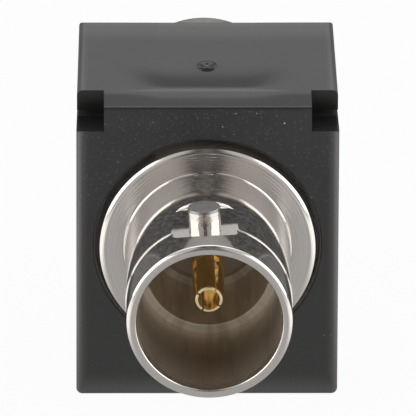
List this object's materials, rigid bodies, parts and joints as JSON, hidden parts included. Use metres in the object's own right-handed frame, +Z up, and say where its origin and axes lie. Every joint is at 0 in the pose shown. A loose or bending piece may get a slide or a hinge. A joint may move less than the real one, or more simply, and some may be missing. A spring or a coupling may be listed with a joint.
{
  "type": "bnc keystone coupler",
  "caption": "Snap-in wall plate insert that joins coaxial leads: a moulded housing with a latch plate, and a bayonet socket front and back.",
  "frame": {"origin": "bottom centre: on the plane the housing stands on, midway between the two socket rims, under the socket axis", "axes": "+Z up, the front of the insert faces -Y, the sockets lie along Y, +X to the right"},
  "size_m": [0.0152, 0.0348, 0.019],
  "materials": {
    "black_plastic": "moulded, fine satin",
    "nickel_plate": "turned brass, bright nickel plated",
    "washer_steel": "plated spring steel",
    "gold_plate": "gold plated",
    "bead_plastic": "turned, dull"
  },
  "bodies": {
    "root": {"housing": "black_plastic", "front_shell": "nickel_plate", "rear_shell": "nickel_plate", "lock_washer": "washer_steel", "centre_contact": "gold_plate", "front_bead": "bead_plastic", "rear_bead": "bead_plastic"}
  },
  "joints": []
}
